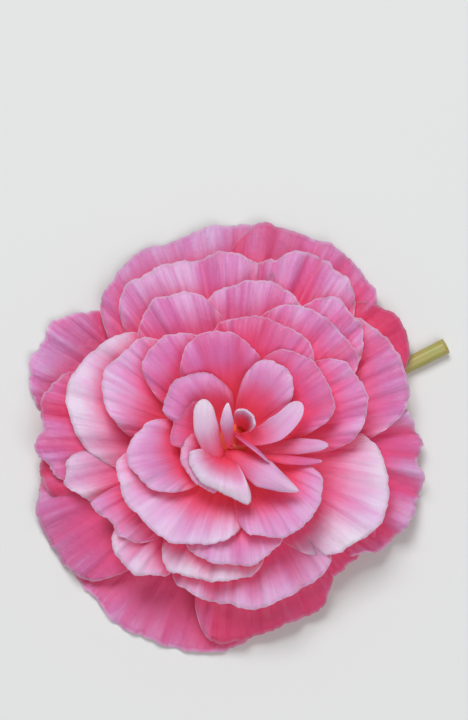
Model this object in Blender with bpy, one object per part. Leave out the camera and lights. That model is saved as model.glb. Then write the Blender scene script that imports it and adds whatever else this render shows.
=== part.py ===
"""Double begonia bloom, as picked: layered petals on one core, and its short cut stalk.

It lies on its back and faces up. Sizes are in millimetres and angles in degrees.
+Z is the bloom's own axis. Azimuth runs counter-clockwise from +X, as seen from above.
"""
import math

import bmesh
import bpy
import numpy as np

MM = 0.001

# The layered petals stand under a dome: a petal that reaches further out ends lower.
CROWN = 44.0
EDGE = 2.0
RIM = 60.0
ROOT_LOW = 8.5
ROOT_RISE = 19.0
ROOT_REACH = 68.0
FLOOR = 0.0
SNAP = 0.15
SEED = 2

BLADE_THICK = 0.8
WIDE_ACROSS = 8
WIDE_REACH = 50.0
FAN_ACROSS = 6
FAN_ALONG = 5
BLADE_ACROSS = 3
BLADE_ALONG = 7

# (height, radius) of the core that every petal is rooted in.
CORE = ((7.0, 8.0), (8.5, 14.0), (12.0, 16.0), (16.0, 13.0), (21.0, 8.5), (26.0, 5.0),
        (28.5, 2.4))
CORE_SIDES = 16

# The stalk starts under the core, bends over and lies along the surface.
STALK_RADIUS = 2.2
STALK_AZIMUTH = 27.0
STALK_END = 69.0
STALK_SIDES = 14
RECEPTACLE_RADIUS = 5.0
RECEPTACLE_TOP = 6.7

# The bloom's axis stands here, so that the middle of the whole footprint is the origin.
AXIS = (-2.3, -5.7)

CENTRE = (0.0, 0.0)
LEFT_OF_CENTRE = (-1.1, -2.2)
RIGHT_OF_CENTRE = (2.0, 2.5)


def fan(ccw, mid, cw, lift=0.0, tuck=(13, 13), top=None, root=None, root_r=4.0, at=CENTRE,
        press=0.0, lip=1.2, ruffle=0.6, waves=5, corner=0.35):
    """A fan-shaped petal.

    ccw, mid and cw are (azimuth, reach) of its margin at both ends and where it reaches
    furthest. tuck is how far its corners run on under the neighbours, in degrees.
    press is how far the surface under it pushes its margin up.
    """
    return dict(ccw=ccw, mid=mid, cw=cw, lift=lift, tuck=tuck, top=top, root=root,
                root_r=root_r, at=at, press=press, lip=lip, ruffle=ruffle, waves=waves, corner=corner)


def blade(spine, wide, roll=0.0, fold=0.0):
    """A narrow folded petal of the heart: three points on its spine and its half widths."""
    return dict(spine=spine, wide=wide, roll=roll, fold=fold)


OUTER = {
    "rim_low": fan((274, 54.5), (246, 58), (217, 56.5), lift=-3.5, press=16, ruffle=0.8),
    "rim_right": fan((312, 44), (290, 51.5), (266, 55), lift=-6, ruffle=0.8),
    "rim_left": fan((222, 55), (205, 58), (186, 55), lift=-1, ruffle=0.8),
    "rim_west": fan((196, 52), (186, 54.5), (172, 54), lift=-3),
    "rim_east": fan((50, 57), (38, 61), (26, 56), lift=6),
    "rim_corner": fan((328, 48), (315, 46), (300, 42), lift=-9, ruffle=0.8),
    "wing_upper": fan((83, 68), (66, 67), (46, 60), lift=3, ruffle=0.8),
    "wing_top": fan((132, 57), (107, 65), (83, 68.5), lift=2, ruffle=0.8),
    "wing_right": fan((374, 51), (348, 54.5), (322, 49), lift=-2, tuck=(6, 13), ruffle=1.3,
                      waves=8),
    "wing_east": fan((48, 51), (34, 54.5), (12, 50.5), lift=4, ruffle=0.8),
    "wing_west": fan((198, 40), (178, 54.5), (161, 56.5), lift=2, ruffle=1.3, waves=7),
    "wing_left": fan((164, 61), (149, 64), (131, 57), lift=-1.5, press=12, ruffle=1.3,
                     waves=6),
}

MIDDLE = {
    "top_broad": fan((124, 56), (104, 56.3), (80, 55), lift=6, ruffle=0.8),
    "top_ruffled": fan((83, 53), (66, 61), (48, 53), lift=10, ruffle=1.3),
    "top_right": fan((54, 52), (45, 50), (33, 42), lift=5, tuck=(13, 9), ruffle=0.8),
    "west_tongue": fan((202, 41), (190, 47.5), (182, 45), lift=-3, tuck=(5, 8), ruffle=0.8),
    "low_broad": fan((315, 40.5), (284, 45.5), (246, 40.5), lift=-2, ruffle=0.8),
    "left_broad": fan((193, 30), (156, 49.3), (129, 42), lift=2, ruffle=0.5),
    "left_under": fan((228, 37), (214, 40.5), (203, 43), lift=-4, tuck=(13, 5)),
    "low_left": fan((244, 40), (229, 45), (216, 41), lift=-2, tuck=(6, 12)),
    "low_mid": fan((284, 35), (260, 38.8), (243, 39.5), lift=-3),
    "top_third": fan((100, 42), (78, 48), (60, 43), lift=2),
    "top_fourth": fan((130, 42), (112, 46.5), (93, 35), lift=3, tuck=(13, 7)),
    "right_broad": fan((365, 37), (336, 46.5), (302, 35), lift=1),
    "right_second": fan((80, 35), (58, 44.5), (34, 43), lift=2),
}

INNER = {
    "left_second": fan((176, 28), (149, 40.5), (128, 38), lift=1),
    "east_second": fan((48, 30), (28, 40), (4, 36), lift=1),
    "top_second": fan((96, 33), (76, 35.2), (50, 35), lift=2),
    "left_first": fan((143, 31), (126, 34.5), (110, 32), lift=1),
    "low_inner": fan((297, 31), (273, 34.5), (247, 32), lift=-2),
    "bowl_left": fan((276, 24.5), (222, 33.5), (191, 33), lift=1, tuck=(10, 8)),
    "bowl_right": fan((337, 27), (308, 31), (278, 25.5), lift=0, tuck=(8, 12)),
    "east_first": fan((67, 26), (42, 31), (14, 29), lift=1),
    "bowl_west": fan((230, 18), (193, 29), (167, 22), lift=2),
    "top_first": fan((130, 22), (104, 30), (63, 20), lift=3),
    "heart_east": fan((74, 21), (53, 24), (24, 14), lift=1, tuck=(10, 5), root=22, root_r=2),
    "heart_arch": fan((160, 20), (138, 21.8), (89, 12.3), top=38, root=22, root_r=2,
                      tuck=(8, 5), lip=2.5),
    "heart_west": fan((186, 17), (160, 16.5), (130, 14), top=36, root=23, root_r=1.5,
                      tuck=(8, 6)),
    "heart_under": fan((254, 13.7), (205, 13.5), (160, 10.6), top=36, root=24, root_r=1.0,
                       at=LEFT_OF_CENTRE, tuck=(6, 6)),
    "heart_front": fan((288, 17.5), (250, 12.8), (191, 10.8), top=38.5, root=26, root_r=0.6,
                       at=LEFT_OF_CENTRE, tuck=(9, 4), lip=2),
    "heart_hook": fan((95, 4.4), (55, 4.6), (5, 4.4), top=42, root=26, root_r=1.8,
                      at=RIGHT_OF_CENTRE, tuck=(20, 20), lip=1.5, corner=0.7),
}

HEART = {
    "finger_upper": blade(((7.2, -2.3, 30), (18.1, -2.1, 33), (26.4, -1.7, 32)),
                          (1.5, 2.2, 1.2), fold=0.8),
    "finger_lower": blade(((5.5, -2.0, 28), (14.5, -5.3, 32), (24.7, -6.0, 31)),
                          (1.5, 1.6, 0.8), roll=20, fold=0.8),
    "crescent": blade(((2.2, 0.0, 30), (12.0, 2.0, 37), (18.6, 9.3, 38)),
                      (1.6, 3.4, 2.4), fold=-0.8),
    "leaf_fold": blade(((-0.8, -3.1, 30), (8.2, -10.0, 38), (18.2, -15.1, 37)),
                       (1.8, 4.0, 1.0), fold=1.6),
    "edge_on": blade(((0.6, 1.3, 32), (5.5, -3.1, 38), (10.3, -7.5, 38)),
                     (1.5, 2.2, 0.5), roll=70),
    "tongue": blade(((-3.4, -6.2, 30), (-6.8, 1.2, 39), (-7.6, 9.4, 42)),
                    (2.2, 3.4, 2.4), fold=1.0),
    "spindle": blade(((-0.5, -2.0, 32), (-1.3, 2.8, 41), (-1.1, 8.2, 43)),
                     (1.0, 1.8, 0.6), fold=0.8),
}
BLADE_ROOT = (0.0, 0.0, 18.0)
BLADE_ROOT_SHARE = 0.25
BLADE_TIP_SHARE = 0.16


def dome(reach):
    """Height of the margin of a petal that reaches this far out."""
    return EDGE + (CROWN - EDGE) * max(0.0, 1 - (reach / RIM) ** 2)


def margin(petal, azimuth):
    """Reach of the margin at each azimuth, with its corners rounded."""
    (a0, r0), (a1, r1), (a2, r2) = petal["ccw"], petal["mid"], petal["cw"]
    on_ccw = azimuth > a1
    span = np.where(on_ccw, a0 - a1, a1 - a2)
    share = np.abs(azimuth - a1) / span
    reach = r1 + (np.where(on_ccw, r0, r2) - r1) * share ** 2
    tuck = np.where(on_ccw, petal["tuck"][0], petal["tuck"][1]) / span
    turn = np.clip((share - 1 + 0.25 * tuck) / (1.25 * tuck), 0, 1)
    corner = petal["corner"]
    return reach * (corner + (1 - corner) * np.sqrt(1 - turn ** 2))


def fan_surface(petal, across, along, seed):
    """Grid of points on the middle surface of a fan-shaped petal."""
    phase = np.random.default_rng(seed).uniform(0, 2 * np.pi, 3)
    v = np.sin(np.pi / 2 * np.linspace(-1, 1, across))[:, None]
    t = np.linspace(0, 1, along)[None, :]
    low = petal["cw"][0] - petal["tuck"][1]
    high = petal["ccw"][0] + petal["tuck"][0]
    azimuth = (low + high) / 2 - (high - low) / 2 * v
    reach = petal["mid"][1]
    calm = min(1.0, reach / 40)
    waves, ruffle, root_r = petal["waves"], petal["ruffle"] * calm, petal["root_r"]
    edge = margin(petal, azimuth) + 0.5 * ruffle * np.sin(waves * v * 2.3 + phase[2])
    rho = root_r + (edge - root_r) * t
    top = (dome(reach) if petal["top"] is None else petal["top"]) + petal["lift"]
    root = petal["root"]
    if root is None:
        root = ROOT_LOW + ROOT_RISE * (1 - reach / ROOT_REACH)
    out = np.clip((rho - root_r) / (reach - root_r), 0, 1.3)
    rise = 1 - np.clip(1 - out, 0, 1) ** 1.6
    droop = out ** 1.8
    high_share = min(1.0, max(0.0, (top - 6) / 14))
    z = root + (top - root) * (high_share * rise + (1 - high_share) * droop)
    z = z + (1 - high_share) * 3.0 * np.sin(np.pi * np.clip(out, 0, 1))
    wave = np.sin(waves * v * 1.7 + phase[0]) + 0.5 * np.sin(waves * v * 3.1 + phase[1])
    z = z + ruffle * t ** 3 * wave
    z = z - petal["press"] * out
    z = z - petal["lip"] * np.clip((t - 0.75) / 0.25, 0, 1) ** 2
    z = np.maximum(z, FLOOR + BLADE_THICK / 2)
    angle = np.radians(azimuth)
    x = rho * np.cos(angle) + petal["at"][0]
    y = rho * np.sin(angle) + petal["at"][1]
    return np.stack([x, y, z], -1)


def blade_surface(petal, across, along):
    """Grid of points on the middle surface of a narrow petal of the heart."""
    a, b, c = (np.array(point, float) for point in petal["spine"])
    root = np.array(BLADE_ROOT)
    t = np.linspace(0, 1, along)
    u = np.clip((t - BLADE_ROOT_SHARE) / (1 - BLADE_ROOT_SHARE), 0, 1)[:, None]
    curve = a * (1 - u) * (1 - 2 * u) + b * 4 * u * (1 - u) + c * u * (2 * u - 1)
    first = np.clip(t / BLADE_ROOT_SHARE, 0, 1)[:, None]
    spine = np.where(t[:, None] < BLADE_ROOT_SHARE, root + (a - root) * first, curve)
    spine[1:-1] = (spine[:-2] + 2 * spine[1:-1] + spine[2:]) / 4
    tangent = np.gradient(spine, axis=0)
    tangent /= np.linalg.norm(tangent, axis=1)[:, None]
    flat = np.cross(tangent, (0.0, 0.0, 1.0))
    flat /= np.linalg.norm(flat, axis=1)[:, None]
    up = np.cross(flat, tangent)
    roll = math.radians(petal["roll"])
    side = flat * math.cos(roll) + up * math.sin(roll)
    face = up * math.cos(roll) - flat * math.sin(roll)
    wide = np.interp(u[:, 0], (0, 0.5, 1), petal["wide"])
    tip = np.clip((1 - t) / BLADE_TIP_SHARE, 0, 1)
    wide = wide * np.sqrt(1 - 0.97 * (1 - tip) ** 2)
    v = np.linspace(-1, 1, across)[:, None]
    reach = (v * wide)[..., None] * side
    sag = (petal["fold"] * v ** 2 * np.minimum(1, wide / 2))[..., None] * face
    return spine + reach - sag


def shell(grid, thick):
    """Points and triangles of a closed shell about a grid of points."""
    normal = np.cross(np.gradient(grid, axis=0), np.gradient(grid, axis=1))
    normal /= np.linalg.norm(normal, axis=-1, keepdims=True) + 1e-12
    across, along = grid.shape[:2]
    points = np.concatenate([(grid + normal * thick / 2).reshape(-1, 3),
                             (grid - normal * thick / 2).reshape(-1, 3)])
    points[points[:, 2] < FLOOR + SNAP, 2] = FLOOR
    index = np.arange(across * along).reshape(across, along)
    a, b = index[:-1, :-1].ravel(), index[1:, :-1].ravel()
    c, d = index[1:, 1:].ravel(), index[:-1, 1:].ravel()
    upper = np.concatenate([np.stack([a, b, c], -1), np.stack([a, c, d], -1)])
    under = upper[:, ::-1] + across * along
    ring = np.concatenate([index[:, 0], index[-1, 1:], index[-2::-1, -1], index[0, -2:0:-1]])
    after = np.roll(ring, -1)
    low_ring, low_after = ring + across * along, after + across * along
    rim = np.concatenate([np.stack([ring, low_ring, low_after], -1),
                          np.stack([ring, low_after, after], -1)])
    return points, np.concatenate([upper, under, rim])


def turned(profile, sides):
    """Points and triangles of a closed body turned about Z from (height, radius) pairs."""
    angle = np.arange(sides) * 2 * np.pi / sides
    points = [(r * math.cos(q), r * math.sin(q), z) for z, r in profile for q in angle]
    points += [(0, 0, profile[0][0]), (0, 0, profile[-1][0])]
    bottom, top = len(points) - 2, len(points) - 1
    faces = []
    for ring in range(len(profile) - 1):
        for k in range(sides):
            p, q = ring * sides + k, ring * sides + (k + 1) % sides
            faces += [(p, q, q + sides), (p, q + sides, p + sides)]
    last = (len(profile) - 1) * sides
    for k in range(sides):
        n = (k + 1) % sides
        faces += [(bottom, n, k), (top, last + k, last + n)]
    return np.array(points, float), np.array(faces)


def mesh_object(name, points, faces):
    """A mesh object of these points, with its faces turned outward."""
    mesh = bpy.data.meshes.new(name)
    placed = (np.asarray(points, float) + (*AXIS, 0.0)) * MM
    mesh.from_pydata(placed.tolist(), [], [tuple(face) for face in faces])
    body = bmesh.new()
    body.from_mesh(mesh)
    bmesh.ops.recalc_face_normals(body, faces=body.faces)
    body.to_mesh(mesh)
    body.free()
    obj = bpy.data.objects.new(name, mesh)
    bpy.context.scene.collection.objects.link(obj)
    return obj


def keep_outer_skin(mesh):
    """Drop every part of a mesh but its largest, so that sealed hollows are filled."""
    body = bmesh.new()
    body.from_mesh(mesh)
    left = set(body.faces)
    largest = set()
    while left:
        found = {left.pop()}
        front = set(found)
        while front:
            front = {g for f in front for e in f.edges for g in e.link_faces} - found
            found |= front
        left -= found
        if len(found) > len(largest):
            largest = found
    dropped = [f for f in body.faces if f not in largest]
    bmesh.ops.delete(body, geom=dropped, context="FACES")
    bmesh.ops.triangulate(body, faces=body.faces)
    body.to_mesh(mesh)
    body.free()


def fuse(base, others):
    """Join the other objects to the base by one union, and remove them."""
    group = bpy.data.collections.new("petals_to_fuse")
    bpy.context.scene.collection.children.link(group)
    for obj in others:
        group.objects.link(obj)
        obj.hide_render = True
    union = base.modifiers.new("union", "BOOLEAN")
    union.operation = "UNION"
    union.operand_type = "COLLECTION"
    union.collection = group
    union.solver = "MANIFOLD"
    bpy.context.view_layer.objects.active = base
    bpy.ops.object.modifier_apply(modifier=union.name)
    for obj in others:
        bpy.data.objects.remove(obj)
    bpy.data.collections.remove(group)


def paint(obj, name, colour, roughness):
    """One Principled material on an object, with smooth shading."""
    material = bpy.data.materials.new(name)
    material.use_nodes = True
    shader = material.node_tree.nodes["Principled BSDF"]
    shader.inputs["Base Color"].default_value = (*colour, 1.0)
    shader.inputs["Roughness"].default_value = roughness
    obj.data.materials.clear()
    obj.data.materials.append(material)
    obj.data.shade_smooth()


def build_petals():
    """Every petal and the core, fused into one body."""
    shells = []
    fans = {**OUTER, **MIDDLE, **INNER}
    for seed, (name, petal) in enumerate(fans.items(), start=SEED):
        across = WIDE_ACROSS if petal["mid"][1] > WIDE_REACH else FAN_ACROSS
        grid = fan_surface(petal, across, FAN_ALONG, seed)
        shells.append(mesh_object(name, *shell(grid, BLADE_THICK)))
    for name, petal in HEART.items():
        grid = blade_surface(petal, BLADE_ACROSS, BLADE_ALONG)
        shells.append(mesh_object(name, *shell(grid, BLADE_THICK)))
    petals = mesh_object("petals", *turned(CORE, CORE_SIDES))
    fuse(petals, shells)
    keep_outer_skin(petals.data)
    paint(petals, "petals", (0.62, 0.13, 0.30), 0.55)


def build_stalk():
    """The stalk and the receptacle at its end, swept as one tube that widens at the top."""
    angle = math.radians(STALK_AZIMUTH)
    lying = STALK_RADIUS * math.cos(math.pi / STALK_SIDES)
    stations = (
        (0.0, RECEPTACLE_TOP, RECEPTACLE_RADIUS, 90.0),
        (0.3, 5.7, RECEPTACLE_RADIUS - 0.6, 80.0),
        (2.6, 4.0, 3.2, 50.0),
        (7.0, 2.7, 2.5, 20.0),
        (15.0, lying, STALK_RADIUS, 4.0),
        (40.0, lying, STALK_RADIUS, 0.0),
        (STALK_END, lying, STALK_RADIUS, 0.0),
    )
    sides = STALK_SIDES
    points = []
    for out, height, radius, steep in stations:
        lean = math.radians(steep)
        for k in range(sides):
            q = 2 * math.pi * k / sides
            across = radius * math.cos(q)
            raised = radius * math.sin(q)
            along = out + raised * math.sin(lean)
            z = max(height + raised * math.cos(lean), FLOOR)
            points.append((along * math.cos(angle) - across * math.sin(angle),
                           along * math.sin(angle) + across * math.cos(angle), z))
    faces = []
    for ring in range(len(stations) - 1):
        for k in range(sides):
            p, q = ring * sides + k, ring * sides + (k + 1) % sides
            faces.append((p, q, q + sides, p + sides))
    faces.append(tuple(range(sides)))
    last = (len(stations) - 1) * sides
    faces.append(tuple(range(last, last + sides)))
    paint(mesh_object("stalk", points, faces), "stalk", (0.30, 0.33, 0.08), 0.5)


for existing in list(bpy.data.objects):
    bpy.data.objects.remove(existing)
build_petals()
build_stalk()
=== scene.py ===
"""Double begonia bloom: fine petals, colour, light and the photo's view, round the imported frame."""
import math

import bmesh
import bpy
import numpy as np
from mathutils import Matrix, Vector


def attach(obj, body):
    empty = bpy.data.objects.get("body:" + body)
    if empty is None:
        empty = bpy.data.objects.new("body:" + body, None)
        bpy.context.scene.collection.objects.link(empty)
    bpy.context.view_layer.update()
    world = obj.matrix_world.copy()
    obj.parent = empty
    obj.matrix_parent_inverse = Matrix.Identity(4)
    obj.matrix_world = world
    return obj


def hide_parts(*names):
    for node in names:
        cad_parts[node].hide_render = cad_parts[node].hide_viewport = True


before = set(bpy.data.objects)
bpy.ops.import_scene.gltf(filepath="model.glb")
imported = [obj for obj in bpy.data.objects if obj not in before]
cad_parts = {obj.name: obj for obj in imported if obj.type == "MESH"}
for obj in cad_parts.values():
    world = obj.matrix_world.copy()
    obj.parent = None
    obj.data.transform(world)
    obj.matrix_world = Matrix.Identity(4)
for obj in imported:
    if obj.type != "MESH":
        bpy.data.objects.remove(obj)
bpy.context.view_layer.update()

MM = 0.001
# Keeps a division by a length from meeting zero.
TINY = 1e-12

# The form is in millimetres about the bloom's own axis, which stands here in the row frame.
AXIS = (-2.3, -5.7)

# The layered petals stand under a dome: one that reaches further out starts and ends lower.
CROWN = 44.0
EDGE = 2.0
RIM = 60.0
ROOT_LOW = 8.5
ROOT_RISE = 19.0
ROOT_REACH = 68.0

# Height of the surface that the bloom lies on. A point less than SNAP above it lies on it.
FLOOR = 0.0
SNAP = 0.15

# Thickness of a petal in its body and at its margin, and the points across and along it.
BODY_THICK = 0.5
MARGIN_THICK = 0.3
FAN_ACROSS = 109
FAN_ALONG = 31
BLADE_ACROSS = 17
BLADE_ALONG = 48

# A fan-shaped petal that ends high rises from its root, and one that ends low arches over.
HIGH_TOP = 20.0
LOW_TOP = 6.0
RISE_BEND = 1.6
DROOP_BEND = 1.8
LOW_ARCH = 3.0
# Where its margin runs past its own reach, it goes on drooping up to this share of it.
OVERRUN = 1.3
# Its lip turns down from this share of its length.
LIP_FROM = 0.75
# Its corners begin to round this share of their tuck before the end of its margin.
CORNER_FROM = 0.25

# The first petal's own number. It seeds a petal's waves and sets its streaks apart.
SEED = 2
# A petal that reaches less far than this has calmer waves.
CALM_REACH = 40
# Waves near the margin as (height, rate), and how they grow along the petal.
WAVES = ((1.0, 1.7), (0.5, 3.1))
WAVE_GROWTH = 3
# The wave of the petal's outline.
OUTLINE_WAVE = 0.5
OUTLINE_RATE = 2.3
# Fine teeth of a ruffled margin as (size, rate).
TEETH = ((0.34, 1.0), (0.26, 1.9), (0.2, 3.3), (0.16, 5.1), (0.14, 8.9), (0.13, 16.3))
TOOTH_RATE = 0.11
# Low folds that run up the petal as (height, rate), and how they grow along it.
FOLDS = ((0.9, 0.19), (0.7, 0.37), (0.36, 0.83))
FOLD_GROWTH = 1.5
# Share of their height that folds keep where the petal lies on the surface.
FOLD_STAND = 0.7
# Folds are kept lower where a petal lies close between two others.
FOLD_SHARE = {"west_tongue": 0.3, "wing_west": 0.7}

# The narrow petals of the heart leave one root and close to a rounded tip.
BLADE_ROOT = (0.0, 0.0, 18.0)
BLADE_ROOT_SHARE = 0.25
BLADE_TIP_SHARE = 0.16
BLADE_TIP_CLOSE = 0.97
# Half width from which a narrow petal is folded in full.
BLADE_FULL_FOLD = 2

# The core that the petals grow from, as (height, radius).
CORE = ((7.0, 8.0), (8.5, 14.0), (12.0, 16.0), (16.0, 13.0), (21.0, 8.5), (26.0, 5.0),
        (28.5, 2.4))
CORE_SIDES = 48

# The stalk's axis lies as high as if the stalk had this many flat sides and lay on one.
STALK_FACETS = 14
STALK_RADIUS = 2.2
STALK_LYING = STALK_RADIUS * math.cos(math.pi / STALK_FACETS)
STALK_AZIMUTH = math.radians(27.0)
STALK_SIDES = 40
RECEPTACLE_RADIUS = 5.0
# The stalk from under the bloom to its cut: (distance out, height, radius, lean in degrees).
STALK_COURSE = (
    (0.0, 6.7, RECEPTACLE_RADIUS, 90.0),
    (0.3, 5.7, RECEPTACLE_RADIUS - 0.6, 80.0),
    (2.6, 4.0, 3.2, 50.0),
    (7.0, 2.7, 2.5, 20.0),
    (15.0, STALK_LYING, STALK_RADIUS, 4.0),
    (40.0, STALK_LYING, STALK_RADIUS, 0.0),
    (69.0, STALK_LYING, STALK_RADIUS, 0.0),
)
# Rings of points over the bend, which ends at this entry of the course, and beyond it.
BEND_END = 4
BEND_RINGS = 24
LYING_RINGS = 60
# The stalk swells along its length as (share, rate, start), and has faint ribs.
STALK_SWELLS = ((0.025, 0.31, 0.0), (0.015, 0.83, 1.0))
STALK_RIBS = 6
STALK_RIB_SHARE = 0.018

# Cells of the height map of the topmost petals, and the shares of a grid step that fill it.
CELL = 1.0
MAP_REACH = 75.0
CELL_STEPS = (0.0, 0.25, 0.5, 0.75)
# How far round a point the map is read, and how far above it a petal has to be to hide it.
COVER_REACHES = (1.5, 3.0, 5.5, 9.0)
COVER_TURNS = 10
COVER_CLEAR = 0.8

# A point is deep from this far under the dome, and wholly so this much further under it.
DEEP_FROM = 4
DEEP_OVER = 13
# Nearness to the heart is this much on the axis, and one less at each further such distance.
NEAR_MOST = 2.2
NEAR_REACH = 14

# Degrees across a fan-shaped petal, or millimetres across a narrow one, in a unit of grain.
FAN_GRAIN = 100
BLADE_GRAIN = 14
# Colours of a narrow petal start at this share of the full length.
BLADE_START = 0.2
# Veins show less on short petals. A narrow petal counts as BLADE_LENGTH long.
VEIN_LEAST = 0.3
VEIN_FROM = 12
VEIN_OVER = 38
BLADE_LENGTH = 10.0

# Colours along a petal from its root, as (share of its length, colour), in each tone.
PINK = ((0.0, (0.88, 0.050, 0.080)), (0.25, (0.86, 0.075, 0.185)), (0.52, (0.80, 0.105, 0.310)),
        (0.80, (0.71, 0.165, 0.425)), (0.95, (0.71, 0.215, 0.485)), (1.0, (0.74, 0.30, 0.57)))
CRIMSON = ((0.0, (0.84, 0.015, 0.035)), (0.4, (0.79, 0.018, 0.062)), (0.8, (0.70, 0.028, 0.102)),
           (1.0, (0.70, 0.060, 0.17)))
PALE = ((0.0, (0.88, 0.055, 0.100)), (0.25, (0.86, 0.085, 0.220)), (0.52, (0.82, 0.180, 0.385)),
        (0.80, (0.82, 0.405, 0.680)), (1.0, (0.85, 0.56, 0.82)))
WHITE = ((0.0, (0.90, 0.10, 0.17)), (0.25, (0.90, 0.17, 0.33)), (0.52, (0.90, 0.38, 0.61)),
         (0.80, (0.93, 0.66, 0.87)), (1.0, (0.95, 0.76, 0.93)))
# Painted shade: colours laid in the depths near the heart and away from it, and under a petal close
# above.
CORAL_SHADE = (0.90, 0.070, 0.085)
ROSE_SHADE = (0.88, 0.095, 0.260)
HOLLOW_SHADE = (0.90, 0.058, 0.172)
# Light that comes through the thin petals into the hollows between them.
GLOW = (0.10, 0.009, 0.018)
DARK = (0.0, 0.0, 0.0)
# The pale line at a petal's margin, partly its own pale margin and partly painted highlight, and the
# tint of its sheen.
MARGIN_AND_HIGHLIGHT = (0.98, 0.60, 0.80)
SHEEN = (1.0, 0.45, 0.70, 1.0)
# Colours of the core, the stalk and the floor.
BASE_COLOURS = ((0.82, 0.10, 0.05), (0.86, 0.20, 0.08))
STALK_COLOURS = ((0.42, 0.40, 0.10), (0.55, 0.30, 0.12))
PAPER = (0.80, 0.79, 0.77, 1)

# Streaks as (fineness across, fineness along, detail), and how much each of them changes.
PATCHES = (9.0, 0.9, 1.0)
BROAD_STREAKS = (46.0, 1.3, 3.0)
THIN_STREAKS = (120.0, 2.2, 2.0)
PETAL_STEP = 3.7
STREAK_ROUGHNESS = 0.6
PATCH_TONE = 2.9
BROAD_SHIFT = 0.55
THIN_SHIFT = 0.30
BROAD_RELIEF = 0.6
THIN_RELIEF = 0.3

# Noises as (scale, detail, roughness).
CRINKLE = (420.0, 3.0, 0.55)
CLOUD = (90.0, 4.0, 0.6)
SPECKLE = (900.0, 2.0, 0.5)
# Ranges over which a value grows from 0, as (start, end, most).
CLOUD_RANGE = (0.35, 0.7, 1.0)
COVER_RANGE = (0.04, 0.46, 0.88)
MARGIN_AND_HIGHLIGHT_RANGE = (0.98, 0.999, 0.7)
# Share of the pale margin line, partly painted highlight, that a crimson petal loses.
MARGIN_AND_HIGHLIGHT_LESS = 0.6
# Share of the painted shade of the depths on a petal, and how much less of it on a white one.
DEEP_MOST = 0.92
DEEP_LESS = 0.37
# Share of the glow under a petal close above.
COVER_GLOW = 0.55

# Sockets of a Mix node that mixes colours.
MIX_FACTOR = 0
MIX_FIRST = 6
MIX_SECOND = 7
MIX_RESULT = 2

# The photo looks down on the bloom, from a little toward its lower edge. Distance in metres.
ELEVATION = math.radians(80)
DISTANCE = 0.75
TARGET = Vector((AXIS[0] + 0.56, AXIS[1] + 24.1, 20.0)) * MM
LENS = 133.6

# The floor's half width and where the lamps point, in metres, then the lamps and the room.
FLOOR_HALF = 4
LAMP_TARGET = Vector((0, 0, 0.02))
LAMP_COLOUR = (0.93, 0.97, 1.0)
ROOM_COLOUR = (1.0, 0.98, 0.99, 1)
ROOM_STRENGTH = 0.20

# Starts of fan-shaped petals, from the axis.
CENTRE = (0.0, 0.0)
LEFT_OF_CENTRE = (-1.1, -2.2)
RIGHT_OF_CENTRE = (2.0, 2.5)


def fan(ccw, mid, cw, lift=0.0, tuck=(13, 13), top=None, root=None, root_r=4.0, at=CENTRE,
        press=0.0, lip=1.2, ruffle=0.6, waves=5, corner=0.35):
    """A fan-shaped petal.

    ccw, mid and cw are (azimuth, reach) of its margin at both ends and where it reaches
    furthest. tuck is how far its corners run on under the neighbours, in degrees.
    press is how much lower its margin would hang if no surface held it up.
    """
    return dict(ccw=ccw, mid=mid, cw=cw, lift=lift, tuck=tuck, top=top, root=root,
                root_r=root_r, at=at, press=press, lip=lip, ruffle=ruffle, waves=waves,
                corner=corner)


def blade(spine, wide, roll=0.0, fold=0.0):
    """A narrow folded petal of the heart: three points on its spine and its half widths."""
    return dict(spine=spine, wide=wide, roll=roll, fold=fold)


OUTER = {
    "rim_low": fan((274, 54.5), (246, 58), (217, 56.5), lift=-3.5, press=16, ruffle=0.8),
    "rim_right": fan((312, 44), (290, 51.5), (266, 55), lift=-6, ruffle=0.8),
    "rim_left": fan((222, 55), (205, 58), (186, 55), lift=-1, ruffle=0.8),
    "rim_west": fan((196, 52), (186, 54.5), (172, 54), lift=-3),
    "rim_east": fan((50, 57), (38, 61), (26, 56), lift=6),
    "rim_corner": fan((328, 48), (315, 46), (300, 42), lift=-9, ruffle=0.8),
    "wing_upper": fan((83, 68), (66, 67), (46, 60), lift=3, ruffle=0.8),
    "wing_top": fan((132, 57), (107, 65), (83, 68.5), lift=2, ruffle=0.8),
    "wing_right": fan((374, 51), (348, 54.5), (322, 49), lift=-2, tuck=(6, 13), ruffle=1.3,
                      waves=8),
    "wing_east": fan((48, 51), (34, 54.5), (12, 50.5), lift=4, ruffle=0.8),
    "wing_west": fan((198, 40), (178, 54.5), (161, 56.5), lift=2, ruffle=1.3, waves=7),
    "wing_left": fan((164, 61), (149, 64), (131, 57), lift=-1.5, press=12, ruffle=1.3,
                     waves=6),
}

MIDDLE = {
    "top_broad": fan((124, 56), (104, 56.3), (80, 55), lift=6, ruffle=0.8),
    "top_ruffled": fan((83, 53), (66, 61), (48, 53), lift=10, ruffle=1.3),
    "top_right": fan((54, 52), (45, 50), (33, 42), lift=5, tuck=(13, 9), ruffle=0.8),
    "west_tongue": fan((202, 41), (190, 47.5), (182, 45), lift=-3, tuck=(5, 8), ruffle=0.8),
    "low_broad": fan((315, 40.5), (284, 45.5), (246, 40.5), lift=-2, ruffle=0.8),
    "left_broad": fan((193, 30), (156, 49.3), (129, 42), lift=2, ruffle=0.5),
    "left_under": fan((228, 37), (214, 40.5), (203, 43), lift=-4, tuck=(13, 5)),
    "low_left": fan((244, 40), (229, 45), (216, 41), lift=-2, tuck=(6, 12)),
    "low_mid": fan((284, 35), (260, 38.8), (243, 39.5), lift=-3),
    "top_third": fan((100, 42), (78, 48), (60, 43), lift=2),
    "top_fourth": fan((130, 42), (112, 46.5), (93, 35), lift=3, tuck=(13, 7)),
    "right_broad": fan((365, 37), (336, 46.5), (302, 35), lift=1),
    "right_second": fan((80, 35), (58, 44.5), (34, 43), lift=2),
}

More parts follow.
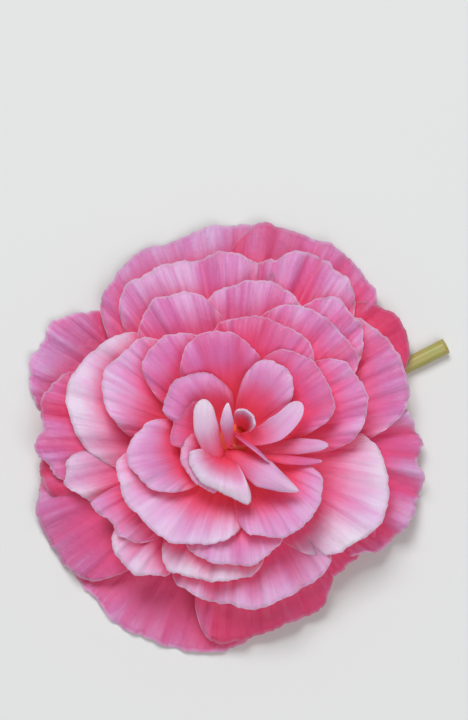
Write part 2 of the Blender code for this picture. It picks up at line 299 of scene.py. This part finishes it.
INNER = {
    "left_second": fan((176, 28), (149, 40.5), (128, 38), lift=1),
    "east_second": fan((48, 30), (28, 40), (4, 36), lift=1),
    "top_second": fan((96, 33), (76, 35.2), (50, 35), lift=2),
    "left_first": fan((143, 31), (126, 34.5), (110, 32), lift=1),
    "low_inner": fan((297, 31), (273, 34.5), (247, 32), lift=-2),
    "bowl_left": fan((276, 24.5), (222, 33.5), (191, 33), lift=1, tuck=(10, 8)),
    "bowl_right": fan((337, 27), (308, 31), (278, 25.5), lift=0, tuck=(8, 12)),
    "east_first": fan((67, 26), (42, 31), (14, 29), lift=1),
    "bowl_west": fan((230, 18), (193, 29), (167, 22), lift=2),
    "top_first": fan((130, 22), (104, 30), (63, 20), lift=3),
    "heart_east": fan((74, 21), (53, 24), (24, 14), lift=1, tuck=(10, 5), root=22, root_r=2),
    "heart_arch": fan((160, 20), (138, 21.8), (89, 12.3), top=38, root=22, root_r=2,
                      tuck=(8, 5), lip=2.5),
    "heart_west": fan((186, 17), (160, 16.5), (130, 14), top=36, root=23, root_r=1.5,
                      tuck=(8, 6)),
    "heart_under": fan((254, 13.7), (205, 13.5), (160, 10.6), top=36, root=24, root_r=1.0,
                       at=LEFT_OF_CENTRE, tuck=(6, 6)),
    "heart_front": fan((288, 17.5), (250, 12.8), (191, 10.8), top=38.5, root=26, root_r=0.6,
                       at=LEFT_OF_CENTRE, tuck=(9, 4), lip=2),
    "heart_hook": fan((95, 4.4), (55, 4.6), (5, 4.4), top=42, root=26, root_r=1.8,
                      at=RIGHT_OF_CENTRE, tuck=(20, 20), lip=1.5, corner=0.7),
}

HEART = {
    "finger_upper": blade(((7.2, -2.3, 30), (18.1, -2.1, 33), (26.4, -1.7, 32)),
                          (1.5, 2.2, 1.2), fold=0.8),
    "finger_lower": blade(((5.5, -2.0, 28), (14.5, -5.3, 32), (24.7, -6.0, 31)),
                          (1.5, 1.6, 0.8), roll=20, fold=0.8),
    "crescent": blade(((2.2, 0.0, 30), (12.0, 2.0, 37), (18.6, 9.3, 38)),
                      (1.6, 3.4, 2.4), fold=-0.8),
    "leaf_fold": blade(((-0.8, -3.1, 30), (8.2, -10.0, 38), (18.2, -15.1, 37)),
                       (1.8, 4.0, 1.0), fold=1.6),
    "edge_on": blade(((0.6, 1.3, 32), (5.5, -3.1, 38), (10.3, -7.5, 38)),
                     (1.5, 2.2, 0.5), roll=70),
    "tongue": blade(((-3.4, -6.2, 30), (-6.8, 1.2, 39), (-7.6, 9.4, 42)),
                    (2.2, 3.4, 2.4), fold=1.0),
    "spindle": blade(((-0.5, -2.0, 32), (-1.3, 2.8, 41), (-1.1, 8.2, 43)),
                     (1.0, 1.8, 0.6), fold=0.8),
}
PETALS = {**OUTER, **MIDDLE, **INNER, **HEART}

# How far a petal's colour leans to crimson, or below zero to pale pink and, by -2, to white.
# Tones are partly each petal's own colour and partly painted light: lower (-Y) petals are set paler,
# as if lit more, upper ones deeper.
TONE_AND_LIGHT = {
    "rim_low": 0.35, "rim_right": 1.0, "rim_left": 0.3, "rim_west": 1.0, "rim_east": 1.0,
    "rim_corner": 1.0, "wing_upper": 0.55, "wing_top": -0.2, "wing_right": -0.1,
    "wing_east": -0.25, "wing_west": 0.4, "wing_left": 0.1, "top_broad": -0.3,
    "top_ruffled": -0.2, "top_right": -0.2, "west_tongue": -1.35, "low_broad": -0.55,
    "left_broad": -1.5, "left_under": -0.45, "low_left": -1.4, "low_mid": -1.7,
    "top_third": -0.25, "top_fourth": 0.0, "right_broad": -1.7, "right_second": -0.05,
    "left_second": -0.6, "east_second": 0.1, "top_second": 0.4, "left_first": 0.05,
    "low_inner": -0.65, "bowl_left": -1.1, "bowl_right": -0.5, "east_first": 0.35,
    "bowl_west": -0.7, "top_first": 0.15, "heart_east": -0.5, "heart_arch": -0.3,
    "heart_west": 0.3, "heart_under": -0.85, "heart_front": -1.65, "heart_hook": -1.6,
    "finger_upper": -0.85, "finger_lower": 0.15, "crescent": -1.1, "leaf_fold": -1.15,
    "edge_on": -0.4, "tongue": -1.9, "spindle": -1.3,
}


def dome(reach):
    """Height of the dome this far out, where a petal with this reach ends."""
    return EDGE + (CROWN - EDGE) * np.maximum(0, 1 - (reach / RIM) ** 2)


def margin(petal, azimuth):
    """Reach of the margin at each azimuth, with its corners rounded."""
    (a0, r0), (a1, r1), (a2, r2) = petal["ccw"], petal["mid"], petal["cw"]
    on_ccw = azimuth > a1
    span = np.where(on_ccw, a0 - a1, a1 - a2)
    share = np.abs(azimuth - a1) / span
    reach = r1 + (np.where(on_ccw, r0, r2) - r1) * share ** 2
    tuck = np.where(on_ccw, petal["tuck"][0], petal["tuck"][1]) / span
    turn = np.clip((share - 1 + CORNER_FROM * tuck) / ((1 + CORNER_FROM) * tuck), 0, 1)
    corner = petal["corner"]
    return reach * (corner + (1 - corner) * np.sqrt(1 - turn ** 2))


def fan_height(petal, out):
    """Height of a fan-shaped petal at each share of its reach, before its waves and folds."""
    reach = petal["mid"][1]
    top = (dome(reach) if petal["top"] is None else petal["top"]) + petal["lift"]
    root = petal["root"]
    if root is None:
        root = ROOT_LOW + ROOT_RISE * (1 - reach / ROOT_REACH)
    rise = 1 - np.clip(1 - out, 0, 1) ** RISE_BEND
    droop = out ** DROOP_BEND
    high = min(1.0, max(0.0, (top - LOW_TOP) / (HIGH_TOP - LOW_TOP)))
    z = root + (top - root) * (high * rise + (1 - high) * droop)
    return z + (1 - high) * LOW_ARCH * np.sin(np.pi * np.clip(out, 0, 1))


def fan_surface(petal, across, along, seed, fold_share):
    """Grid of points on the middle surface of a fan-shaped petal, and its grain."""
    draw = np.random.default_rng(seed)
    phase = draw.uniform(0, 2 * np.pi, 3)
    fine = draw.uniform(0, 2 * np.pi, 6)
    v = np.sin(np.pi / 2 * np.linspace(-1, 1, across))[:, None]
    t = np.linspace(0, 1, along)[None, :]
    low = petal["cw"][0] - petal["tuck"][1]
    high = petal["ccw"][0] + petal["tuck"][0]
    span = high - low
    azimuth = (low + high) / 2 - span / 2 * v
    reach = petal["mid"][1]
    calm = min(1.0, reach / CALM_REACH)
    waves, ruffle, root_r = petal["waves"], petal["ruffle"] * calm, petal["root_r"]

    outline = OUTLINE_WAVE * ruffle * np.sin(waves * v * OUTLINE_RATE + phase[2])
    edge = margin(petal, azimuth) + outline
    edge = edge + ruffle * sum(size * np.sin(TOOTH_RATE * rate * span * v + fine[k])
                               for k, (size, rate) in enumerate(TEETH))
    rho = root_r + (edge - root_r) * t

    out = np.clip((rho - root_r) / (reach - root_r), 0, OVERRUN)
    z = fan_height(petal, out)
    wave = sum(height * np.sin(waves * v * rate + phase[k])
               for k, (height, rate) in enumerate(WAVES))
    z = z + ruffle * t ** WAVE_GROWTH * wave
    # The phase of each fold is the sum of two of the teeth's.
    folds = sum(height * np.sin(rate * span * v + start)
                for (height, rate), start in zip(FOLDS, fine[:3] + fine[3:]))
    folds = fold_share * ruffle * calm * t ** FOLD_GROWTH * folds
    z = z + folds
    z = z - petal["press"] * out
    z = z - petal["lip"] * np.clip((t - LIP_FROM) / (1 - LIP_FROM), 0, 1) ** 2
    # Where the petal lies on the surface, its folds still stand up from it.
    z = np.maximum(z, FLOOR + BODY_THICK / 2 + FOLD_STAND * t * (folds - folds.min()))

    angle = np.radians(azimuth)
    x = rho * np.cos(angle) + petal["at"][0]
    y = rho * np.sin(angle) + petal["at"][1]
    grain = np.stack([np.broadcast_to(azimuth / FAN_GRAIN, x.shape),
                      np.broadcast_to(t, x.shape)], -1)
    return np.stack([x, y, z], -1), grain


def blade_spine(petal, t):
    """Points along a narrow petal's spine, and how far along its own three points each is."""
    a, b, c = (np.array(point, float) for point in petal["spine"])
    root = np.array(BLADE_ROOT)
    u = np.clip((t - BLADE_ROOT_SHARE) / (1 - BLADE_ROOT_SHARE), 0, 1)[:, None]
    curve = a * (1 - u) * (1 - 2 * u) + b * 4 * u * (1 - u) + c * u * (2 * u - 1)
    first = np.clip(t / BLADE_ROOT_SHARE, 0, 1)[:, None]
    spine = np.where(t[:, None] < BLADE_ROOT_SHARE, root + (a - root) * first, curve)
    spine[1:-1] = (spine[:-2] + 2 * spine[1:-1] + spine[2:]) / 4
    return spine, u[:, 0]


def blade_surface(petal, across, along):
    """Grid of points on the middle surface of a narrow petal of the heart, and its grain."""
    t = np.linspace(0, 1, along)
    spine, u = blade_spine(petal, t)
    tangent = np.gradient(spine, axis=0)
    tangent /= np.linalg.norm(tangent, axis=1)[:, None]
    flat = np.cross(tangent, (0.0, 0.0, 1.0))
    flat /= np.linalg.norm(flat, axis=1)[:, None]
    up = np.cross(flat, tangent)
    roll = math.radians(petal["roll"])
    side = flat * math.cos(roll) + up * math.sin(roll)
    face = up * math.cos(roll) - flat * math.sin(roll)
    wide = np.interp(u, (0, 0.5, 1), petal["wide"])
    tip = np.clip((1 - t) / BLADE_TIP_SHARE, 0, 1)
    wide = wide * np.sqrt(1 - BLADE_TIP_CLOSE * (1 - tip) ** 2)
    v = np.linspace(-1, 1, across)[:, None]
    reach = (v * wide)[..., None] * side
    folded = np.minimum(1, wide / BLADE_FULL_FOLD)
    sag = (petal["fold"] * v ** 2 * folded)[..., None] * face
    shape = (across, along)
    grain = np.stack([np.broadcast_to(v * wide / BLADE_GRAIN, shape),
                      np.broadcast_to(BLADE_START + (1 - BLADE_START) * t, shape)], -1)
    return spine + reach - sag, grain


def petal_surfaces():
    """Own number, grid of points and grain of every petal by its name."""
    surfaces = {}
    for number, (key, petal) in enumerate(PETALS.items(), start=SEED):
        if "spine" in petal:
            grid, grain = blade_surface(petal, BLADE_ACROSS, BLADE_ALONG)
        else:
            fold_share = FOLD_SHARE.get(key, 1.0)
            grid, grain = fan_surface(petal, FAN_ACROSS, FAN_ALONG, number, fold_share)
        surfaces[key] = (number, grid, grain)
    return surfaces


def shell(grid):
    """Points and quads of a closed shell about a grid of points, thinner at its margin."""
    normal = np.cross(np.gradient(grid, axis=0), np.gradient(grid, axis=1))
    normal /= np.linalg.norm(normal, axis=-1, keepdims=True) + TINY
    across, along = grid.shape[:2]
    share = np.linspace(0, 1, along)[None, :, None]
    half = (BODY_THICK + (MARGIN_THICK - BODY_THICK) * share) / 2
    points = np.concatenate([(grid + normal * half).reshape(-1, 3),
                             (grid - normal * half).reshape(-1, 3)])
    points[points[:, 2] < FLOOR + SNAP, 2] = FLOOR
    index = np.arange(across * along).reshape(across, along)
    a, b = index[:-1, :-1].ravel(), index[1:, :-1].ravel()
    c, d = index[1:, 1:].ravel(), index[:-1, 1:].ravel()
    upper = np.stack([a, b, c, d], -1)
    under = upper[:, ::-1] + across * along
    ring = np.concatenate([index[:, 0], index[-1, 1:], index[-2::-1, -1], index[0, -2:0:-1]])
    after = np.roll(ring, -1)
    rim = np.stack([ring, ring + across * along, after + across * along, after], -1)
    return points, np.concatenate([upper, under, rim])


def turned(profile, sides):
    """Points and triangles of a closed body turned about Z from (height, radius) pairs."""
    angle = np.arange(sides) * 2 * np.pi / sides
    points = [(r * math.cos(q), r * math.sin(q), z) for z, r in profile for q in angle]
    points += [(0, 0, profile[0][0]), (0, 0, profile[-1][0])]
    bottom, top = len(points) - 2, len(points) - 1
    faces = []
    for ring in range(len(profile) - 1):
        for k in range(sides):
            p, q = ring * sides + k, ring * sides + (k + 1) % sides
            faces += [(p, q, q + sides), (p, q + sides, p + sides)]
    last = (len(profile) - 1) * sides
    for k in range(sides):
        n = (k + 1) % sides
        faces += [(bottom, n, k), (top, last + k, last + n)]
    return np.array(points, float), np.array(faces)


def stalk_rings():
    """Places along the stalk as rows of distance out, height, radius and lean."""
    entries = np.arange(len(STALK_COURSE))
    place = np.concatenate([np.linspace(0, BEND_END, BEND_RINGS, endpoint=False),
                            np.linspace(BEND_END, entries[-1], LYING_RINGS)])
    rings = np.stack([np.interp(place, entries, column)
                      for column in np.array(STALK_COURSE).T], -1)
    swell = 1
    for share, rate, start in STALK_SWELLS:
        swell = swell + share * np.sin(rings[:, 0] * rate + start)
    rings[:, 2] *= swell
    return rings


def stalk_shell():
    """Points and faces of the stalk, bent over under the bloom and lying along the surface."""
    rings = stalk_rings()
    sides = STALK_SIDES
    points = []
    for out, height, radius, steep in rings:
        lean = math.radians(steep)
        for k in range(sides):
            q = 2 * math.pi * k / sides
            own = radius * (1 + STALK_RIB_SHARE * math.sin(STALK_RIBS * q))
            across, raised = own * math.cos(q), own * math.sin(q)
            along = out + raised * math.sin(lean)
            z = max(height + raised * math.cos(lean), FLOOR)
            points.append((along * math.cos(STALK_AZIMUTH) - across * math.sin(STALK_AZIMUTH),
                           along * math.sin(STALK_AZIMUTH) + across * math.cos(STALK_AZIMUTH),
                           z))
    faces = []
    for ring in range(len(rings) - 1):
        for k in range(sides):
            p, q = ring * sides + k, ring * sides + (k + 1) % sides
            faces.append((p, q, q + sides, p + sides))
    last = (len(rings) - 1) * sides
    faces.append(tuple(range(sides)))
    faces.append(tuple(range(last, last + sides)))
    return points, faces


def depth_and_nearness(points):
    """How deep each point lies under the dome, and how near the heart, both from 0 to 1."""
    out = np.hypot(points[:, 0], points[:, 1])
    below = dome(out) - points[:, 2]
    return (np.clip((below - DEEP_FROM) / DEEP_OVER, 0, 1),
            np.clip(NEAR_MOST - out / NEAR_REACH, 0, 1))


def vein_strength(petal):
    """How strong the veins of a petal show, from 0 to 1."""
    length = BLADE_LENGTH if "spine" in petal else petal["mid"][1]
    return min(1.0, max(VEIN_LEAST, (length - VEIN_FROM) / VEIN_OVER))


def height_map(grids):
    """Height of the topmost petal over each cell of the footprint."""
    cells = int(2 * MAP_REACH / CELL)
    tops = np.zeros((cells, cells))
    for grid in grids:
        step = grid[:, 1:] - grid[:, :-1]
        for share in CELL_STEPS:
            points = (grid[:, :-1] + step * share).reshape(-1, 3)
            spot = ((points[:, :2] + MAP_REACH) / CELL).astype(int)
            np.maximum.at(tops, (spot[:, 0], spot[:, 1]), points[:, 2])
    return tops


def covered(points, tops):
    """How far the petals round and above a point hide the sky from it, from 0 to 1."""
    total = np.zeros(len(points))
    for out in COVER_REACHES:
        for turn in range(COVER_TURNS):
            angle = 2 * math.pi * (turn + out) / COVER_TURNS
            place = points[:, :2] + out * np.array([math.cos(angle), math.sin(angle)])
            spot = np.clip(((place + MAP_REACH) / CELL).astype(int), 0, len(tops) - 1)
            above = tops[spot[:, 0], spot[:, 1]] - points[:, 2]
            total += np.clip((above - COVER_CLEAR) / (out + COVER_CLEAR), 0, 1)
    return total / (len(COVER_REACHES) * COVER_TURNS)


def feed(tree, socket, value):
    """Give an input of a node a link from a socket, or else a fixed value."""
    if isinstance(value, bpy.types.NodeSocket):
        tree.links.new(value, socket)
    else:
        socket.default_value = value


def node(tree, kind, inputs=None, **values):
    """A shader node with these attributes, and these inputs by name or place."""
    made = tree.nodes.new(kind)
    for key, value in values.items():
        setattr(made, key, value)
    for key, value in (inputs or {}).items():
        feed(tree, made.inputs[key], value)
    return made


def maths(tree, operation, first, second):
    """One Math node on sockets or numbers."""
    return node(tree, "ShaderNodeMath", {0: first, 1: second}, operation=operation).outputs[0]


def times(tree, first, second):
    """The product of two sockets or numbers."""
    return maths(tree, "MULTIPLY", first, second)


def held(tree, value):
    """A value held between 0 and 1."""
    return node(tree, "ShaderNodeClamp", {0: value}).outputs[0]


def spread(tree, value, start, end, most):
    """A value that grows from 0 at the start to the most at the end."""
    made = node(tree, "ShaderNodeMapRange", {0: value, 1: start, 2: end, 3: 0.0, 4: most})
    return made.outputs[0]


def noise(tree, place, scale, detail, roughness):
    """Soft noise over a place."""
    made = node(tree, "ShaderNodeTexNoise", {
        "Vector": place, "Scale": scale, "Detail": detail, "Roughness": roughness})
    return made.outputs[0]


def ramp(tree, factor, stops):
    """A colour ramp through (place, colour) stops."""
    made = tree.nodes.new("ShaderNodeValToRGB")
    band = made.color_ramp
    band.interpolation = "EASE"
    while len(band.elements) < len(stops):
        band.elements.new(0.5)
    for element, (place, colour) in zip(band.elements, stops):
        element.position = place
        element.color = (*colour, 1.0)
    tree.links.new(factor, made.inputs[0])
    return made.outputs[0]


def blend(tree, factor, first, second):
    """A colour mix from the first to the second, each a socket or a colour."""
    made = node(tree, "ShaderNodeMix", data_type="RGBA")
    feed(tree, made.inputs[MIX_FACTOR], factor)
    for place, colour in ((MIX_FIRST, first), (MIX_SECOND, second)):
        if isinstance(colour, tuple):
            colour = (*colour, 1.0)
        feed(tree, made.inputs[place], colour)
    return made.outputs[MIX_RESULT]


def attribute(tree, name):
    """The number that the mesh keeps under this name."""
    return node(tree, "ShaderNodeAttribute", attribute_name=name).outputs["Fac"]


def streaks(tree, across, along, kind):
    """Noise stretched along the petal, finer across it, and different on each petal."""
    fine, slow, detail = kind
    place = node(tree, "ShaderNodeCombineXYZ", {
        0: times(tree, across, fine),
        1: times(tree, along, slow),
        2: times(tree, attribute(tree, "petal"), PETAL_STEP)})
    return noise(tree, place.outputs[0], 1.0, detail, STREAK_ROUGHNESS)


def away_from_half(tree, value, size):
    """How far a noise is from its middle, times the size."""
    return times(tree, maths(tree, "SUBTRACT", value, 0.5), size)


def tone_colour(tree, tone, place):
    """Colour of a tone at a place on the petal, and how far it leans to crimson and white."""
    to_crimson = held(tree, tone)
    to_pale = held(tree, times(tree, tone, -1.0))
    to_white = held(tree, maths(tree, "SUBTRACT", -1.0, tone))
    colour = blend(tree, to_crimson, ramp(tree, place, PINK), ramp(tree, place, CRIMSON))
    colour = blend(tree, to_pale, colour, ramp(tree, place, PALE))
    colour = blend(tree, to_white, colour, ramp(tree, place, WHITE))
    return colour, to_crimson, to_white


def hollow_shade_colour(tree, colour, to_white):
    """The colour with painted shade laid into the hollows between petals, and a painted glow there.
    """
    shade = spread(tree, attribute(tree, "cover"), *COVER_RANGE)
    colour = blend(tree, shade, colour, HOLLOW_SHADE)
    near = attribute(tree, "near")
    share = maths(tree, "SUBTRACT", DEEP_MOST, times(tree, to_white, DEEP_LESS))
    deep_shade = times(tree, attribute(tree, "deep"), share)
    colour = blend(tree, deep_shade, colour, blend(tree, near, ROSE_SHADE, CORAL_SHADE))
    lit = maths(tree, "MAXIMUM", times(tree, deep_shade, near), times(tree, shade, COVER_GLOW))
    return colour, blend(tree, lit, DARK, GLOW)


def petal_relief(tree, along, vein, broad, thin):
    """Bumps of the streaks, with a crinkle that grows toward the margin."""
    where = node(tree, "ShaderNodeTexCoord").outputs["Object"]
    crinkle = times(tree, times(tree, noise(tree, where, *CRINKLE), vein), along)
    height = maths(tree, "ADD", times(tree, broad, BROAD_RELIEF),
                   times(tree, thin, THIN_RELIEF))
    height = maths(tree, "ADD", height, crinkle)
    bump = node(tree, "ShaderNodeBump", {
        "Strength": 0.6, "Distance": 0.0008, "Height": height})
    return bump.outputs[0]


def petal_material(name):
    """Petal skin: colour along it, streaks that fan out from its root, and painted shade and glow in
    hollows.
    """
    material = bpy.data.materials.new(name)
    material.use_nodes = True
    tree = material.node_tree
    shader = tree.nodes["Principled BSDF"]
    grain = node(tree, "ShaderNodeUVMap", uv_map="grain")
    split = node(tree, "ShaderNodeSeparateXYZ", {0: grain.outputs[0]})
    across, along = split.outputs[0], split.outputs[1]
    vein = attribute(tree, "vein")
    patch, broad, thin = (streaks(tree, across, along, kind)
                          for kind in (PATCHES, BROAD_STREAKS, THIN_STREAKS))

    change = times(tree, vein, away_from_half(tree, patch, PATCH_TONE))
    # The petal's tone, which is partly painted light, with its random patches.
    tone = maths(tree, "ADD", attribute(tree, "tone"), change)
    shift = maths(tree, "ADD", away_from_half(tree, broad, BROAD_SHIFT),
                  away_from_half(tree, thin, THIN_SHIFT))
    place = maths(tree, "ADD", along, times(tree, times(tree, shift, vein), along))
    colour, to_crimson, to_white = tone_colour(tree, tone, place)
    # Painted shade and painted glow in the hollows between petals.
    colour, glow = hollow_shade_colour(tree, colour, to_white)
    # The pale margin line: partly the petal's paler margin, partly painted highlight on the thin rim.
    pale = maths(tree, "SUBTRACT", 1.0, times(tree, to_crimson, MARGIN_AND_HIGHLIGHT_LESS))
    margin_and_highlight = times(tree, spread(tree, along, *MARGIN_AND_HIGHLIGHT_RANGE), pale)
    colour = blend(tree, margin_and_highlight, colour, MARGIN_AND_HIGHLIGHT)

    tree.links.new(colour, shader.inputs["Base Color"])
    # Painted glow: emission that stands in for light coming through the petals into the hollows.
    tree.links.new(glow, shader.inputs["Emission Color"])
    shader.inputs["Emission Strength"].default_value = 1.0
    material.cycles.emission_sampling = "NONE"
    relief = petal_relief(tree, along, vein, broad, thin)
    tree.links.new(relief, shader.inputs["Normal"])
    shader.inputs["Roughness"].default_value = 0.5
    shader.inputs["Specular IOR Level"].default_value = 0.35
    shader.inputs["Sheen Weight"].default_value = 0.1
    shader.inputs["Sheen Tint"].default_value = SHEEN
    shader.inputs["Sheen Roughness"].default_value = 0.4
    shader.inputs["Subsurface Weight"].default_value = 0.5
    shader.inputs["Subsurface Radius"].default_value = (1.0, 0.4, 0.65)
    shader.inputs["Subsurface Scale"].default_value = 0.0016
    return material


def plant_material(name, colours):
    """Fleshy skin in two colours that come and go, with fine bumps."""
    material = bpy.data.materials.new(name)
    material.use_nodes = True
    tree = material.node_tree
    shader = tree.nodes["Principled BSDF"]
    where = node(tree, "ShaderNodeTexCoord").outputs["Object"]
    share = spread(tree, noise(tree, where, *CLOUD), *CLOUD_RANGE)
    tree.links.new(blend(tree, share, *colours), shader.inputs["Base Color"])
    bump = node(tree, "ShaderNodeBump", {
        "Strength": 0.25, "Distance": 0.0003, "Height": noise(tree, where, *SPECKLE)})
    tree.links.new(bump.outputs[0], shader.inputs["Normal"])
    shader.inputs["Roughness"].default_value = 0.38
    shader.inputs["Subsurface Weight"].default_value = 0.3
    shader.inputs["Subsurface Radius"].default_value = (1.0, 0.9, 0.3)
    shader.inputs["Subsurface Scale"].default_value = 0.0015
    return material


def piece(name, points, faces, material, slot, cad_node):
    """A piece of the bloom in millimetres about its axis, riding the root body."""
    mesh = bpy.data.meshes.new(name)
    placed = (np.asarray(points, float) + (*AXIS, 0.0)) * MM
    mesh.from_pydata(placed.tolist(), [], [tuple(int(k) for k in face) for face in faces])
    mesh.materials.append(material)
    body = bmesh.new()
    body.from_mesh(mesh)
    bmesh.ops.recalc_face_normals(body, faces=body.faces)
    body.to_mesh(mesh)
    body.free()
    mesh.shade_smooth()
    obj = bpy.data.objects.new(name, mesh)
    bpy.context.scene.collection.objects.link(obj)
    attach(obj, "root")
    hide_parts(cad_node)
    return obj


def petal_piece(name, keys, surfaces, tops, material):
    """Several petals as one piece, with what their skin is coloured by kept on the mesh."""
    points, faces, grains = [], [], []
    values = {"tone": [], "petal": [], "vein": []}
    start = 0
    for key in keys:
        number, grid, grain = surfaces[key]
        own_points, own_faces = shell(grid)
        count = len(own_points)
        points.append(own_points)
        faces.append(own_faces + start)
        grains.append(np.concatenate([grain.reshape(-1, 2)] * 2))
        values["tone"].append(np.full(count, TONE_AND_LIGHT[key]))
        values["petal"].append(np.full(count, float(number)))
        values["vein"].append(np.full(count, vein_strength(PETALS[key])))
        start += count
    points = np.concatenate(points)
    mesh = piece(name, points, np.concatenate(faces), material, "petals", "petals").data
    corner = np.empty(len(mesh.loops), np.int32)
    mesh.loops.foreach_get("vertex_index", corner)
    layer = mesh.uv_layers.new(name="grain")
    layer.data.foreach_set("uv", np.concatenate(grains)[corner].ravel().astype(np.float32))
    values = {label: np.concatenate(own) for label, own in values.items()}
    # How deep and how covered each point lies, which sets the painted shade of the hollows.
    values["deep"], values["near"] = depth_and_nearness(points)
    values["cover"] = covered(points, tops)
    for label, own in values.items():
        layer = mesh.attributes.new(label, "FLOAT", "POINT")
        layer.data.foreach_set("value", own.astype(np.float32))


def pale_floor():
    """The plain floor that the bloom lies on."""
    mesh = bpy.data.meshes.new("floor")
    corners = [(FLOOR_HALF * x, FLOOR_HALF * y, 0)
               for x, y in ((-1, -1), (1, -1), (1, 1), (-1, 1))]
    mesh.from_pydata(corners, [], [(0, 1, 2, 3)])
    floor = bpy.data.objects.new("floor", mesh)
    bpy.context.scene.collection.objects.link(floor)
    paper = bpy.data.materials.new("pale floor")
    paper.use_nodes = True
    shader = paper.node_tree.nodes["Principled BSDF"]
    shader.inputs["Base Color"].default_value = PAPER
    shader.inputs["Roughness"].default_value = 0.8
    mesh.materials.append(paper)


def photo_camera():
    """The camera at the photo's viewing angle and framing."""
    camera = bpy.data.objects.new("camera", bpy.data.cameras.new("camera"))
    bpy.context.scene.collection.objects.link(camera)
    outward = Vector((0, -math.cos(ELEVATION), math.sin(ELEVATION)))
    camera.location = TARGET + outward * DISTANCE
    camera.rotation_euler = (math.pi / 2 - ELEVATION, 0, 0)
    camera.data.sensor_fit = "AUTO"
    camera.data.lens = LENS
    bpy.context.scene.camera = camera


def lamp(name, place, size, power):
    """A soft square lamp that points at the bloom."""
    data = bpy.data.lights.new(name, "AREA")
    data.size, data.energy, data.color = size, power, LAMP_COLOUR
    obj = bpy.data.objects.new(name, data)
    bpy.context.scene.collection.objects.link(obj)
    obj.location = place
    aim = LAMP_TARGET - Vector(place)
    obj.rotation_euler = aim.to_track_quat("-Z", "Y").to_euler()


def studio_light():
    """A key lamp toward the photo's top, a weaker fill toward its bottom, and an even room."""
    lamp("key light", place=(-0.3, 0.95, 1.8), size=0.9, power=26.6)
    lamp("fill light", place=(0.55, -0.9, 1.8), size=1.3, power=15.4)
    world = bpy.data.worlds.new("studio")
    world.use_nodes = True
    room = world.node_tree.nodes["Background"]
    room.inputs["Color"].default_value = ROOM_COLOUR
    room.inputs["Strength"].default_value = ROOM_STRENGTH
    bpy.context.scene.world = world
    bpy.context.scene.view_settings.view_transform = "Standard"


surfaces = petal_surfaces()
tops = height_map(grid for number, grid, grain in surfaces.values())
rim_keys = [key for key in OUTER if key.startswith("rim")]
wing_keys = [key for key in OUTER if key.startswith("wing")]
inner_keys = [key for key in INNER if not key.startswith("heart")]
heart_keys = [key for key in INNER if key.startswith("heart")] + list(HEART)

skin = petal_material("petal skin")
petal_piece("rim_petals", rim_keys, surfaces, tops, skin)
petal_piece("wing_petals", wing_keys, surfaces, tops, skin)
petal_piece("middle_petals", list(MIDDLE), surfaces, tops, skin)
petal_piece("inner_petals", inner_keys, surfaces, tops, skin)
petal_piece("heart_petals", heart_keys, surfaces, tops, skin)
piece("flower_base", *turned(CORE, CORE_SIDES), plant_material("coral base", BASE_COLOURS),
      "petals", "petals")
piece("flower_stalk", *stalk_shell(), plant_material("stalk skin", STALK_COLOURS),
      "stalk", "stalk")

pale_floor()
photo_camera()
studio_light()
